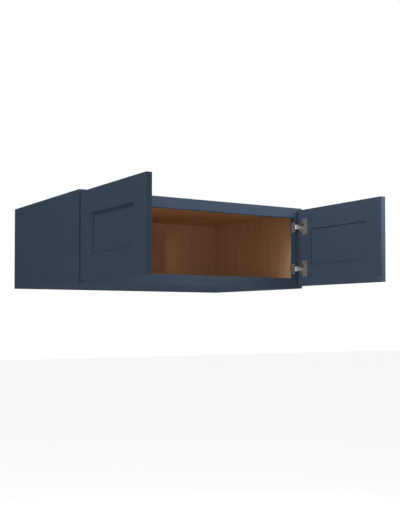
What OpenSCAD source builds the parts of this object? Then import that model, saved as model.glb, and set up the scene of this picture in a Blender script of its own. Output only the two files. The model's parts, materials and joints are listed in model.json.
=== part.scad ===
// Wall cabinet for the space over a refrigerator: a deep painted box with a face frame
// and two overlay doors on concealed hinges, shown with both doors standing open.
// All sizes are millimetres. X runs along the width, Y from the room (-) to the wall (0),
// Z up. The origin is the middle of the face that hangs on the wall.

/* [Box] */
// Overall width of the cabinet
cab_w = 914.4; // [700:0.1:1200]
// Overall height of the cabinet
cab_h = 304.8; // [290:0.1:620]
// Overall depth, from the wall to the front of the face frame
cab_d = 609.6; // [300:0.1:700]
// Thickness of the side, top and bottom panels
box_t = 15.9; // [11:0.1:18]
// Thickness of the back panel
back_t = 12.7; // [8:0.1:18]
// Depth of the rabbet in each side panel that takes the back panel
rabbet_w = 6.35; // [3:0.05:8]

/* [Hanging holes] */
// Distance between the hanging holes along the width
hang_span_x = 406.4; // [300:0.1:500]
// Distance between the hanging holes in height
hang_span_z = 240; // [180:1:245]
// Radius of a hanging hole
hang_r = 2.75; // [2:0.05:4]

/* [Face frame] */
// Thickness of the face frame
frame_t = 19.05; // [16:0.05:24]
// Width of a frame stile
frame_stile_w = 38.1; // [34:0.1:60]
// Height of a frame rail
frame_rail_w = 38.1; // [34:0.1:60]

/* [Doors] */
// Angle at which both doors stand open
door_open = 90; // [0:1:105]
// Thickness of a door
door_t = 19.05; // [18:0.05:24]
// Gap between the two doors when they are closed
door_split = 3.2; // [2:0.1:8]
// Bare frame above and below a door
end_reveal = 8.9; // [2:0.1:16]
// Gap between the back of a closed door and the frame
door_gap = 2.5; // [2.2:0.05:3.2]
// Width of a door stile, without its bevel
door_stile_w = 76.2; // [60:0.1:90]
// Height of a door rail, without its bevel
door_rail_w = 76.2; // [50:0.1:90]
// Depth of the panel recess on the back of a door
back_recess = 3.2; // [1.5:0.1:5]
// Thickness of the centre panel
door_panel_t = 6; // [4:0.1:7]
// Room for the centre panel in the thickness of its groove
panel_play = 0.35; // [0.2:0.05:0.6]
// Depth of the groove that holds the centre panel
groove_d = 9.5; // [7:0.1:14]
// Gap between the edge of the centre panel and the bottom of its groove
panel_float = 3.2; // [2.5:0.1:4]
// Gap at the end of a rail's tongue
tongue_gap = 0.5; // [0.2:0.1:1]
// Width of the bevel round the front recess, inwards from the stiles and rails
bevel_w = 6.35; // [3:0.05:10]
// Square step between the bevel and the centre panel
bevel_lip = 1.5; // [0.5:0.1:3]

/* [Door spacers and bumpers] */
// Length of a rubber spacer, across the groove
spacer_len = 5.4; // [3:0.1:6]
// Gap round a rubber spacer
spacer_gap = 0.1; // [0.05:0.01:0.2]
// Distance between the two spacers in a rail's groove
spacer_span_x = 180; // [80:1:240]
// Distance between the two spacers in a stile's groove
spacer_span_z = 70; // [40:1:90]
// Radius of a bumper
bumper_r = 5; // [3:0.1:6]
// Distance from the middle of a bumper to the free edge and the end of the door
bumper_inset = 12; // [8:0.5:20]
// Gap between a bumper and the frame when the door is closed
bumper_gap = 0.2; // [0.1:0.05:0.4]

/* [Hinge cup] */
// Distance from the end of the door to the middle of a hinge
hinge_from_end = 64.5; // [50:0.5:75]
// Diameter of the cup
cup_d = 35; // [34:0.1:36]
// Wood left between the edge of the door and the cup
cup_tab = 3; // [2.5:0.1:4]
// Thickness of the steel of the cup
cup_wall = 0.8; // [0.6:0.05:1.2]
// Gap between the cup and its hole in the door
cup_fit = 0.1; // [0.05:0.01:0.2]
// Height of the flange on the back of the door
flange_h = 60; // [56:0.5:75]
// Width of the flange
flange_w = 30; // [28:0.5:35]
// Thickness of the flange
flange_t = 1; // [0.7:0.05:1.2]
// Distance from the middle of the cup to the middle of the flange
flange_shift = 19.5; // [16:0.5:21]
// Radius of the flange's corners
flange_corner_r = 3; // [1:0.5:6]
// Distance between the two cup screws
cup_screw_span = 45; // [44.8:0.1:48]
// Distance from the middle of the cup to the line of the cup screws
cup_screw_shift = 9.5; // [8:0.1:12]

/* [Hinge arm and pin] */
// Radius of the pivot pin
pin_r = 1.1; // [0.9:0.05:1.3]
// Running gap between the pin and the arm's knuckle
pin_run = 0.05; // [0.02:0.01:0.1]
// Gap between the pin and its holes in the cup
pin_fit = 0.02; // [0.01:0.01:0.04]
// Gap between the end of the pin and the outside of the cup
pin_end_gap = 0.1; // [0.05:0.01:0.2]
// Steel round the pin in the two lugs that hold it
lug_wall = 1.2; // [0.9:0.1:1.4]
// Outer radius of the arm's knuckle
knuckle_r = 2; // [1.8:0.05:2.2]
// Gap between the knuckle and the cup
knuckle_gap = 0.4; // [0.3:0.05:0.8]
// Gap between the swinging edge of the door and the frame
swing_gap = 0.2; // [0.15:0.05:0.4]
// Width of the arm
arm_w = 16; // [13:0.1:18]
// Width of the arm's neck, inside the cup
neck_w = 10; // [7:0.1:11]
// Gap between the flange and the wide part of the arm when the door is open
flange_gap = 0.1; // [0.05:0.01:0.2]
// Thickness of the arm
arm_t = 1.6; // [1.2:0.1:2]
// Outer radius of the arm's bend
arm_bend_r = 3.5; // [2.5:0.1:5]
// Gap between the arm's bend and the cup when the door is closed
arm_gap = 0.5; // [0.3:0.05:1]
// Length of the arm along the edge of the stile
arm_leg = 17; // [15:0.5:19]

/* [Hinge springs and damper] */
// Thickness of a leaf spring
leaf_t = 0.5; // [0.3:0.05:0.7]
// Width of a leaf spring
leaf_w = 2; // [1:0.1:2.2]
// Outer radius of a leaf spring's bend
leaf_bend_r = 2; // [1.5:0.1:2.2]
// Length of a leaf spring's straight legs
leaf_leg = 4.6; // [3:0.1:5]
// Gap between the arm's neck and a leaf spring
leaf_gap = 0.6; // [0.3:0.1:0.8]
// Gap between a leaf spring and the lug beside it
lug_gap = 0.2; // [0.1:0.05:0.3]
// Gap between the arm and the damper beside it
damper_gap = 0.6; // [0.3:0.1:1]
// Width of the damper
damper_w = 4.2; // [3:0.1:4.6]
// Distance from the mouth of the cup to the damper
damper_sink = 3.4; // [2:0.1:6]

/* [Hinge base] */
// Height of the base plate
base_h = 37.5; // [35:0.5:37.5]
// Thickness of the base plate
base_t = 1.3; // [1:0.1:1.6]
// How far the base plate reaches behind the frame
base_tail = 3; // [0:0.5:6]
// Radius of the base plate's back corners
base_corner_r = 3; // [1:0.5:6]
// Width of the base plate's lip on the front of the stile
base_lip_w = 4; // [2:0.1:6]
// Thickness of the lip
base_lip_t = 1; // [0.6:0.05:1]
// Distance between the two base screws
base_screw_span = 26; // [25:0.5:28]

/* [Screws and dowels] */
// Radius of a hinge screw's shank
screw_r = 1.6; // [1.2:0.05:1.9]
// Length of a cup screw below its head
cup_screw_len = 15; // [10:0.5:16]
// Length of a base screw below its head
base_screw_len = 17; // [12:0.5:24]
// Length of an arm screw below its head
arm_screw_len = 12; // [8:0.5:20]
// Radius of a hinge screw's head
head_r = 3.2; // [2.6:0.1:3.5]
// Height of a hinge screw's head
head_h = 0.9; // [0.6:0.05:1.1]
// Radius of a back screw's shank
back_screw_r = 1.75; // [1.4:0.05:2.2]
// Length of a back screw
back_screw_len = 38; // [28:1:50]
// Radius of a back screw's countersunk head
back_head_r = 3.6; // [3:0.1:4.5]
// Number of back screws along the top, and along the bottom
back_screw_count = 4; // [2:1:8]
// Gap round each screw and dowel
fastener_fit = 0.05; // [0.02:0.01:0.1]
// Gap beyond the end of each screw and dowel
fastener_end = 0.5; // [0.3:0.1:1]
// Radius of a dowel
dowel_r = 3; // [2.5:0.1:4]
// Length of a dowel between a frame rail and a stile
frame_dowel_len = 32; // [20:1:40]
// Distance between the two dowels at the end of a frame rail
frame_dowel_span = 18; // [14:0.5:20]
// Length of a dowel in the box
box_dowel_len = 26; // [20:1:30]
// How far a box dowel goes into the side panel or the face frame
box_dowel_bite = 8; // [6:0.5:9]
// Number of dowels along each end of the top and bottom panels
box_dowel_count = 4; // [2:1:6]
// Number of dowels between the frame and each panel's front edge
front_dowel_count = 3; // [2:1:5]
// Share of a panel's edge that its row of dowels or screws covers
row_share = 0.78; // [0.5:0.01:0.9]

/* [Hidden] */
$fn = 64;
over = 1;
paint = [0.235, 0.285, 0.345];
bare_wood = [0.56, 0.39, 0.24];
dowel_wood = [0.78, 0.66, 0.48];
steel = [0.62, 0.62, 0.6];
dark_steel = [0.4, 0.4, 0.39];
rubber_grey = [0.35, 0.35, 0.36];
clear_rubber = [0.86, 0.88, 0.88];

// Planes of the box and the frame
side_x = cab_w / 2;
inner_x = side_x - box_t;
top_z = cab_h / 2;
front_y = -cab_d;
frame_back_y = front_y + frame_t;
frame_mid_y = front_y + frame_t / 2;
back_in_y = -back_t;
panel_mid_z = top_z - box_t / 2;

// Hinge: the arm's bend just clears the cup, and that sets how far the door covers the stile
cup_r = cup_d / 2;
cup_in_r = cup_r - cup_wall;
cup_u = cup_tab + cup_r;
bend_u = cup_u + sqrt(pow(cup_in_r, 2) - pow(arm_w / 2, 2)) - arm_gap;
overlay = bend_u - arm_t - base_t;
side_reveal = frame_stile_w - overlay;

// Pivot: inside the cup beside its wall, and deep enough for the door's edge to clear the frame
pin_u = cup_u - sqrt(pow(cup_in_r, 2) - pow(neck_w / 2, 2)) + knuckle_gap + knuckle_r;
swing_room = door_gap - swing_gap;
pin_v = (pow(pin_u, 2) - pow(swing_room, 2)) / (2 * swing_room);
pin_x = -side_x + side_reveal + pin_u;
pin_y = front_y - door_gap - pin_v;
pin_half = sqrt(pow(cup_r, 2) - pow(cup_u - pin_u + pin_r, 2)) - pin_end_gap;
lug_z = neck_w / 2 + leaf_gap + leaf_w + lug_gap;
lug_r = pin_r + lug_wall;
cup_floor_v = pin_v + knuckle_r + knuckle_gap;
cup_depth = cup_floor_v + cup_wall;

// Doors
door_w = (cab_w - 2 * side_reveal - door_split) / 2;
door_h = cab_h - 2 * end_reveal;
hinge_z = door_h / 2 - hinge_from_end;
groove_w = door_panel_t + panel_play;
bevel_d = door_t - back_recess - groove_w - bevel_lip;
panel_in_u = door_stile_w - groove_d + panel_float;
panel_in_z = door_h / 2 - door_rail_w + groove_d - panel_float;
spacer_r = panel_float / 2 - spacer_gap;
spacer_v = back_recess + groove_w / 2;

// Arm, in a frame at the pivot with the door closed
arm_reach = -side_x + frame_stile_w + base_t + arm_t - pin_x;
neck_len = pin_v + flange_t + flange_gap;
arm_end_y = front_y + arm_leg - pin_y;

// Screws in the hinge base and through the arm
base_face_x = frame_stile_w + base_t;
arm_face_x = base_face_x + arm_t;

function row(n, length) = [for (i = [0 : n - 1]) length * row_share * (i / (n - 1) - 0.5)];
side_row_y = (frame_back_y + back_in_y) / 2;
side_row_len = back_in_y - frame_back_y;

// Draws a block from its lowest to its highest corner
module block(low, high) {
    translate(low)
        cube(high - low);
}

// Draws its children on the left and, mirrored, on the right
module both_sides() {
    children();
    mirror([1, 0, 0]) children();
}

// Draws its children at the height of the upper hinge and of the lower one
module both_hinges() {
    for (z = [-hinge_z, hinge_z])
        translate([0, 0, z]) children();
}

// Dowels between the rails and the stiles of the face frame
module frame_dowel_set(r, length) {
    both_sides()
        for (rail = [-1, 1], dowel = [-0.5, 0.5])
            translate([
                -side_x + frame_stile_w,
                frame_mid_y,
                rail * (top_z - frame_rail_w / 2) + dowel * frame_dowel_span
            ])
                rotate([0, 90, 0])
                    cylinder(r = r, h = length, center = true);
}

// Dowels between the side panels and the ends of the top and bottom panels
module box_dowel_set(r, length) {
    both_sides()
        for (panel = [-1, 1], y = row(box_dowel_count, side_row_len))
            translate([-inner_x + box_dowel_len / 2 - box_dowel_bite, side_row_y + y, panel * panel_mid_z])
                rotate([0, 90, 0])
                    cylinder(r = r, h = length, center = true);
}

// Dowels between the face frame and the front edges of the four panels
module front_dowel_set(r, length) {
    dowel_y = frame_back_y + box_dowel_len / 2 - box_dowel_bite;
    both_sides()
        for (z = row(front_dowel_count, cab_h))
            translate([-side_x + box_t / 2, dowel_y, z])
                rotate([90, 0, 0])
                    cylinder(r = r, h = length, center = true);
    for (panel = [-1, 1], x = row(front_dowel_count, 2 * inner_x))
        translate([x, dowel_y, panel * panel_mid_z])
            rotate([90, 0, 0])
                cylinder(r = r, h = length, center = true);
}

// Countersunk screws through the back panel into the top and bottom panels
module back_screw_set(fit, end_gap) {
    head_depth = back_head_r - back_screw_r;
    for (panel = [-1, 1], x = row(back_screw_count, 2 * inner_x))
        translate([x, 0, panel * panel_mid_z])
            rotate([90, 0, 0])
                union() {
                    cylinder(r = back_screw_r + fit, h = back_screw_len + end_gap);
                    cylinder(r1 = back_head_r + fit, r2 = back_screw_r + fit, h = head_depth);
                }
}

// A side panel, with the rabbet for the back panel
module side_panel() {
    difference() {
        block([-side_x, frame_back_y, -top_z], [-inner_x, 0, top_z]);
        block([-inner_x - rabbet_w, back_in_y, -top_z - over], [-inner_x + over, over, top_z + over]);
        box_dowel_set(dowel_r + fastener_fit, box_dowel_len + 2 * fastener_end);
        front_dowel_set(dowel_r + fastener_fit, box_dowel_len + 2 * fastener_end);
    }
}

module left_side_panel() {
    color(paint) side_panel();
}

module right_side_panel() {
    color(paint) mirror([1, 0, 0]) side_panel();
}

// The top panel, between the sides, from the face frame to the back panel
module cross_panel() {
    difference() {
        block([-inner_x, frame_back_y, top_z - box_t], [inner_x, back_in_y, top_z]);
        box_dowel_set(dowel_r + fastener_fit, box_dowel_len + 2 * fastener_end);
        front_dowel_set(dowel_r + fastener_fit, box_dowel_len + 2 * fastener_end);
        back_screw_set(fastener_fit, fastener_end);
    }
}

module top_panel() {
    color(bare_wood) cross_panel();
}

module bottom_panel() {
    color(paint) mirror([0, 0, 1]) cross_panel();
}

module back_panel() {
    color(bare_wood)
        difference() {
            block([-inner_x - rabbet_w, back_in_y, -top_z], [inner_x + rabbet_w, 0, top_z]);
            back_screw_set(fastener_fit, fastener_end);
            for (x = [-0.5, 0.5], z = [-0.5, 0.5])
                translate([x * hang_span_x, over, z * hang_span_z])
                    rotate([90, 0, 0])
                        cylinder(r = hang_r, h = back_t + 2 * over);
        }
}

// A stile of the face frame, drilled for its dowels and the screws of two hinges
module frame_stile() {
    difference() {
        block([-side_x, front_y, -top_z], [-side_x + frame_stile_w, frame_back_y, top_z]);
        frame_dowel_set(dowel_r + fastener_fit, frame_dowel_len + 2 * fastener_end);
        front_dowel_set(dowel_r + fastener_fit, box_dowel_len + 2 * fastener_end);
        both_hinges() {
            base_screw_places() screw_hole(base_screw_len);
            arm_screw_place() screw_hole(arm_screw_len);
        }
    }
}

module frame_left_stile() {
    color(paint) frame_stile();
}

module frame_right_stile() {
    color(paint) mirror([1, 0, 0]) frame_stile();
}

// The top rail of the face frame, between the stiles
module frame_rail() {
    rail_x = side_x - frame_stile_w;
    difference() {
        block([-rail_x, front_y, top_z - frame_rail_w], [rail_x, frame_back_y, top_z]);
        frame_dowel_set(dowel_r + fastener_fit, frame_dowel_len + 2 * fastener_end);
        front_dowel_set(dowel_r + fastener_fit, box_dowel_len + 2 * fastener_end);
    }
}

module frame_top_rail() {
    color(paint) frame_rail();
}

module frame_bottom_rail() {
    color(paint) mirror([0, 0, 1]) frame_rail();
}

module frame_dowels() {
    color(dowel_wood) frame_dowel_set(dowel_r, frame_dowel_len);
}

module box_dowels() {
    color(dowel_wood) box_dowel_set(dowel_r, box_dowel_len);
}

module frame_to_box_dowels() {
    color(dowel_wood) front_dowel_set(dowel_r, box_dowel_len);
}

module back_screws() {
    color(dark_steel) back_screw_set(0, 0);
}

// Moves a piece drawn on a closed left door to where the open door holds it.
// A door's own frame has X from its hinge edge, Y 0 at its back face, and Z 0 at mid height.
module on_left_door() {
    translate([pin_x, pin_y, 0])
        rotate([0, 0, -door_open])
            translate([-pin_u, pin_v, 0])
                children();
}

module on_right_door() {
    mirror([1, 0, 0]) on_left_door() children();
}

// Outline of a door member across its length: groove inside, and a front lip that ends in the bevel
module member_outline(w) {
    polygon([
        [0, 0],
        [w, 0],
        [w, -back_recess],
        [w - groove_d, -back_recess],
        [w - groove_d, -back_recess - groove_w],
        [w + bevel_w, -back_recess - groove_w],
        [w + bevel_w, -door_t + bevel_d],
        [w, -door_t],
        [0, -door_t]
    ]);
}

module plain_hinge_stile() {
    linear_extrude(door_h, center = true)
        member_outline(door_stile_w);
}

module plain_free_stile() {
    translate([door_w, 0, 0])
        mirror([1, 0, 0])
            plain_hinge_stile();
}

// The stile that the hinges sit in, drilled for two cups and their screws
module hinge_stile() {
    difference() {
        plain_hinge_stile();
        both_hinges() {
            translate([cup_u, over, 0])
                rotate([90, 0, 0])
                    cylinder(r = cup_r + cup_fit, h = cup_depth + cup_fit + over);
            cup_screw_places() screw_hole(cup_screw_len);
        }
    }
}

// The top rail of a door, coped over the bevel of both stiles and tongued into their grooves
module door_rail() {
    rail_u = door_stile_w - groove_d + tongue_gap;
    difference() {
        translate([door_w / 2, 0, door_h / 2])
            rotate([0, 90, 0])
                linear_extrude(door_w - 2 * rail_u, center = true)
                    member_outline(door_rail_w);
        plain_hinge_stile();
        plain_free_stile();
    }
}

module door_panel() {
    panel_v = back_recess + panel_play / 2;
    block([panel_in_u, -panel_v - door_panel_t, -panel_in_z], [door_w - panel_in_u, -panel_v, panel_in_z]);
}

// Rubber barrels that keep the panel in the middle of its grooves
module door_spacers() {
    for (x = [-0.5, 0.5], z = [-1, 1])
        translate([door_w / 2 + x * spacer_span_x, -spacer_v, z * (panel_in_z + panel_float / 2)])
            rotate([90, 0, 0])
                cylinder(r = spacer_r, h = spacer_len, center = true, $fn = 32);
    for (side = [-1, 1], z = [-0.5, 0.5])
        translate([
            door_w / 2 + side * (door_w / 2 - panel_in_u + panel_float / 2),
            -spacer_v,
            z * spacer_span_z
        ])
            rotate([90, 0, 0])
                cylinder(r = spacer_r, h = spacer_len, center = true, $fn = 32);
}

// Clear domed bumpers at the corners of the free edge
module door_bumpers() {
    bumper_h = door_gap - bumper_gap;
    for (z = [-1, 1])
        translate([door_w - bumper_inset, 0, z * (door_h / 2 - bumper_inset)])
            rotate([-90, 0, 0])
                intersection() {
                    cylinder(r = bumper_r, h = bumper_h);
                    translate([0, 0, bumper_h - bumper_r * 1.6])
                        sphere(r = bumper_r * 1.6);
                }
}

module left_door_hinge_stile() {
    color(paint) on_left_door() hinge_stile();
}

module left_door_free_stile() {
    color(paint) on_left_door() plain_free_stile();
}

module left_door_top_rail() {
    color(paint) on_left_door() door_rail();
}

module left_door_bottom_rail() {
    color(paint) on_left_door() mirror([0, 0, 1]) door_rail();
}

module left_door_panel() {
    color(paint) on_left_door() door_panel();
}

module left_door_spacers() {
    color(rubber_grey) on_left_door() door_spacers();
}

module left_door_bumpers() {
    color(clear_rubber) on_left_door() door_bumpers();
}

module right_door_hinge_stile() {
    color(paint) on_right_door() hinge_stile();
}

module right_door_free_stile() {
    color(paint) on_right_door() plain_free_stile();
}

module right_door_top_rail() {
    color(paint) on_right_door() door_rail();
}

module right_door_bottom_rail() {
    color(paint) on_right_door() mirror([0, 0, 1]) door_rail();
}

module right_door_panel() {
    color(paint) on_right_door() door_panel();
}

module right_door_spacers() {
    color(rubber_grey) on_right_door() door_spacers();
}

module right_door_bumpers() {
    color(clear_rubber) on_right_door() door_bumpers();
}

// A hinge screw that stands on Z 0 and runs down, with a cross recess in its low head
module hinge_screw(length) {
    recess_w = head_r * 0.28;
    recess_l = head_r * 1.1;
    difference() {
        union() {
            translate([0, 0, -length])
                cylinder(r = screw_r, h = length + head_h / 2, $fn = 32);
            cylinder(r1 = head_r, r2 = head_r * 0.8, h = head_h, $fn = 48);
        }
        for (turn = [0, 90])
            rotate([0, 0, turn])
                translate([0, 0, head_h])
                    cube([recess_l, recess_w, head_h], center = true);
    }
}

// The hole that a hinge screw leaves below Z 0
module screw_hole(length) {
    translate([0, 0, -length - fastener_end])
        cylinder(r = screw_r + fastener_fit, h = length + fastener_end + over, $fn = 32);
}

// A cup's screws lie on the flange, in the door's own frame
module cup_screw_places() {
    for (z = [-0.5, 0.5])
        translate([cup_u + cup_screw_shift, flange_t, z * cup_screw_span])
            rotate([-90, 0, 0])
                children();
}

// A base's screws lie on the base plate, above and below the arm
module base_screw_places() {
    for (z = [-0.5, 0.5])
        translate([-side_x + base_face_x, frame_mid_y, z * base_screw_span])
            rotate([0, 90, 0])
                children();
}

module arm_screw_place() {
    translate([-side_x + arm_face_x, frame_mid_y, 0])
        rotate([0, 90, 0])
            children();
}

// A rectangle with round corners, centred
module round_rect(size, r) {
    square([size[0] - 2 * r, size[1]], center = true);
    square([size[0], size[1] - 2 * r], center = true);
    for (x = [-1, 1], y = [-1, 1])
        translate([x * (size[0] / 2 - r), y * (size[1] / 2 - r)])
            circle(r = r);
}

// The inside of the cup, from above the flange down to the floor
module cup_space() {
    translate([cup_u, flange_t + over, 0])
        rotate([90, 0, 0])
            cylinder(r = cup_in_r, h = flange_t + over + cup_floor_v);
}

// The two lugs that hold the ends of the pin, on the floor of the cup against its wall
module pin_lugs() {
    low = [0, -cup_depth, lug_z];
    high = [pin_u + lug_r, -pin_v + lug_r, cup_r];
    block(low, high);
    mirror([0, 0, 1]) block(low, high);
}

// The pressed steel cup and the flange round its mouth
module hinge_cup() {
    difference() {
        union() {
            translate([cup_u, 0, 0])
                rotate([90, 0, 0])
                    cylinder(r = cup_r, h = cup_depth);
            translate([cup_u + flange_shift, 0, 0])
                rotate([-90, 0, 0])
                    linear_extrude(flange_t)
                        round_rect([flange_w, flange_h], flange_corner_r);
        }
        difference() {
            cup_space();
            pin_lugs();
        }
        translate([pin_u, -pin_v, 0])
            cylinder(r = pin_r + pin_fit, h = 2 * cup_r, center = true, $fn = 32);
        cup_screw_places() screw_hole(cup_screw_len);
    }
}

// The pivot pin, held at both ends by the lugs in the cup
module hinge_pin() {
    translate([pin_u, -pin_v, 0])
        cylinder(r = pin_r, h = 2 * pin_half, center = true, $fn = 32);
}

// Outline of a leaf spring, lying on the floor of the cup and bent back over itself
module leaf_outline() {
    bend_x = leaf_leg + leaf_bend_r;
    difference() {
        union() {
            translate([bend_x, leaf_bend_r])
                circle(r = leaf_bend_r, $fn = 32);
            translate([bend_x - leaf_leg, 0])
                square([leaf_leg, 2 * leaf_bend_r]);
        }
        translate([bend_x, leaf_bend_r])
            circle(r = leaf_bend_r - leaf_t, $fn = 32);
        translate([bend_x - leaf_leg - over, leaf_t])
            square([leaf_leg + over, 2 * (leaf_bend_r - leaf_t)]);
    }
}

// Two leaf springs, one each side of the arm's neck
module hinge_springs() {
    for (side = [-1, 1])
        translate([pin_u, -cup_floor_v, side * (neck_w / 2 + leaf_gap + leaf_w / 2)])
            linear_extrude(leaf_w, center = true)
                leaf_outline();
}

// The closing damper, a closed block on the floor of the cup beside the arm
module hinge_damper() {
    near = arm_w / 2 + damper_gap;
    far = near + damper_w;
    half_len = sqrt(pow(cup_in_r - knuckle_gap, 2) - pow(far, 2));
    piston_r = damper_w * 0.36;
    block([cup_u - half_len, -cup_floor_v, near], [cup_u + half_len * 0.3, -damper_sink, far]);
    translate([cup_u + half_len * 0.3, -(cup_floor_v + damper_sink) / 2, (near + far) / 2])
        rotate([0, 90, 0])
            cylinder(r = piston_r, h = half_len * 0.7, $fn = 32);
}

// Outline of the whole arm, seen along the pin, with the pivot at the origin
module arm_outline() {
    bend_in_r = arm_bend_r - arm_t;
    bend_x = arm_reach - arm_bend_r;
    bend_y = arm_bend_r - knuckle_r;
    translate([0, -knuckle_r])
        square([bend_x, arm_t]);
    intersection() {
        translate([bend_x, bend_y])
            difference() {
                circle(r = arm_bend_r);
                circle(r = bend_in_r);
            }
        translate([bend_x, bend_y - arm_bend_r])
            square(arm_bend_r);
    }
    translate([arm_reach - arm_t, bend_y])
        square([arm_t, arm_end_y - bend_y]);
}

// The arm: a knuckle on the pin, a narrow neck, a bend, and a leg on the base plate
module hinge_arm() {
    difference() {
        union() {
            translate([pin_x, pin_y, 0])
                linear_extrude(arm_w, center = true)
                    difference() {
                        arm_outline();
                        translate([-over, -arm_reach])
                            square([neck_len + over, 2 * arm_reach]);
                    }
            translate([pin_x, pin_y, 0])
                linear_extrude(neck_w, center = true) {
                    circle(r = knuckle_r);
                    translate([0, -knuckle_r])
                        square([neck_len + over, arm_t]);
                }
        }
        translate([pin_x, pin_y, 0])
            cylinder(r = pin_r + pin_run, h = arm_w, center = true, $fn = 32);
        arm_screw_place() screw_hole(arm_screw_len);
    }
}

// The base plate on the inner edge of the stile, with its lip on the front
module hinge_base() {
    plate_l = frame_t + base_tail;
    difference() {
        union() {
            translate([-side_x + frame_stile_w, front_y + plate_l / 2, 0])
                rotate([0, 90, 0])
                    linear_extrude(base_t)
                        union() {
                            round_rect([base_h, plate_l], base_corner_r);
                            translate([-base_h / 2, -plate_l / 2])
                                square([base_h, plate_l / 2]);
                        }
            block(
                [-side_x + frame_stile_w - base_lip_w, front_y - base_lip_t, -base_h / 2],
                [-side_x + base_face_x, front_y, base_h / 2]
            );
        }
        base_screw_places() screw_hole(base_screw_len);
        arm_screw_place() screw_hole(arm_screw_len);
    }
}

// Heights of the two hinges on a door
module upper() {
    translate([0, 0, hinge_z]) children();
}

module lower() {
    translate([0, 0, -hinge_z]) children();
}

module left_upper_hinge_cup() {
    color(steel) on_left_door() upper() hinge_cup();
}

module left_upper_hinge_pin() {
    color(dark_steel) on_left_door() upper() hinge_pin();
}

module left_upper_hinge_springs() {
    color(steel) on_left_door() upper() hinge_springs();
}

module left_upper_hinge_damper() {
    color(rubber_grey) on_left_door() upper() hinge_damper();
}

module left_upper_hinge_arm() {
    color(steel) upper() hinge_arm();
}

module left_upper_hinge_base() {
    color(steel) upper() hinge_base();
}

module left_lower_hinge_cup() {
    color(steel) on_left_door() lower() hinge_cup();
}

module left_lower_hinge_pin() {
    color(dark_steel) on_left_door() lower() hinge_pin();
}

module left_lower_hinge_springs() {
    color(steel) on_left_door() lower() hinge_springs();
}

module left_lower_hinge_damper() {
    color(rubber_grey) on_left_door() lower() hinge_damper();
}

module left_lower_hinge_arm() {
    color(steel) lower() hinge_arm();
}

module left_lower_hinge_base() {
    color(steel) lower() hinge_base();
}

module right_upper_hinge_cup() {
    color(steel) on_right_door() upper() hinge_cup();
}

module right_upper_hinge_pin() {
    color(dark_steel) on_right_door() upper() hinge_pin();
}

module right_upper_hinge_springs() {
    color(steel) on_right_door() upper() hinge_springs();
}

module right_upper_hinge_damper() {
    color(rubber_grey) on_right_door() upper() hinge_damper();
}

module right_upper_hinge_arm() {
    color(steel) upper() mirror([1, 0, 0]) hinge_arm();
}

module right_upper_hinge_base() {
    color(steel) upper() mirror([1, 0, 0]) hinge_base();
}

module right_lower_hinge_cup() {
    color(steel) on_right_door() lower() hinge_cup();
}

module right_lower_hinge_pin() {
    color(dark_steel) on_right_door() lower() hinge_pin();
}

module right_lower_hinge_springs() {
    color(steel) on_right_door() lower() hinge_springs();
}

module right_lower_hinge_damper() {
    color(rubber_grey) on_right_door() lower() hinge_damper();
}

module right_lower_hinge_arm() {
    color(steel) lower() mirror([1, 0, 0]) hinge_arm();
}

module right_lower_hinge_base() {
    color(steel) lower() mirror([1, 0, 0]) hinge_base();
}

module left_cup_screws() {
    color(dark_steel)
        on_left_door() both_hinges() cup_screw_places() hinge_screw(cup_screw_len);
}

module right_cup_screws() {
    color(dark_steel)
        on_right_door() both_hinges() cup_screw_places() hinge_screw(cup_screw_len);
}

module hinge_base_screws() {
    color(dark_steel)
        both_sides() both_hinges() base_screw_places() hinge_screw(base_screw_len);
}

module hinge_arm_screws() {
    color(dark_steel)
        both_sides() both_hinges() arm_screw_place() hinge_screw(arm_screw_len);
}

left_side_panel();
right_side_panel();
top_panel();
bottom_panel();
back_panel();
frame_left_stile();
frame_right_stile();
frame_top_rail();
frame_bottom_rail();
frame_dowels();
box_dowels();
frame_to_box_dowels();
back_screws();
left_door_hinge_stile();
left_door_free_stile();
left_door_top_rail();
left_door_bottom_rail();
left_door_panel();
left_door_spacers();
left_door_bumpers();
right_door_hinge_stile();
right_door_free_stile();
right_door_top_rail();
right_door_bottom_rail();
right_door_panel();
right_door_spacers();
right_door_bumpers();
left_upper_hinge_cup();
left_upper_hinge_pin();
left_upper_hinge_springs();
left_upper_hinge_damper();
left_upper_hinge_arm();
left_upper_hinge_base();
left_lower_hinge_cup();
left_lower_hinge_pin();
left_lower_hinge_springs();
left_lower_hinge_damper();
left_lower_hinge_arm();
left_lower_hinge_base();
right_upper_hinge_cup();
right_upper_hinge_pin();
right_upper_hinge_springs();
right_upper_hinge_damper();
right_upper_hinge_arm();
right_upper_hinge_base();
right_lower_hinge_cup();
right_lower_hinge_pin();
right_lower_hinge_springs();
right_lower_hinge_damper();
right_lower_hinge_arm();
right_lower_hinge_base();
left_cup_screws();
right_cup_screws();
hinge_base_screws();
hinge_arm_screws();
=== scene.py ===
"""Dresses a deep painted wall cabinet, with a face frame and two open doors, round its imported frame."""

import json
import logging
import math
from collections.abc import Callable, Sequence
from dataclasses import dataclass, replace
from enum import Enum
from typing import Any

import bmesh
import bpy
from mathutils import Matrix, Vector


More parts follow.
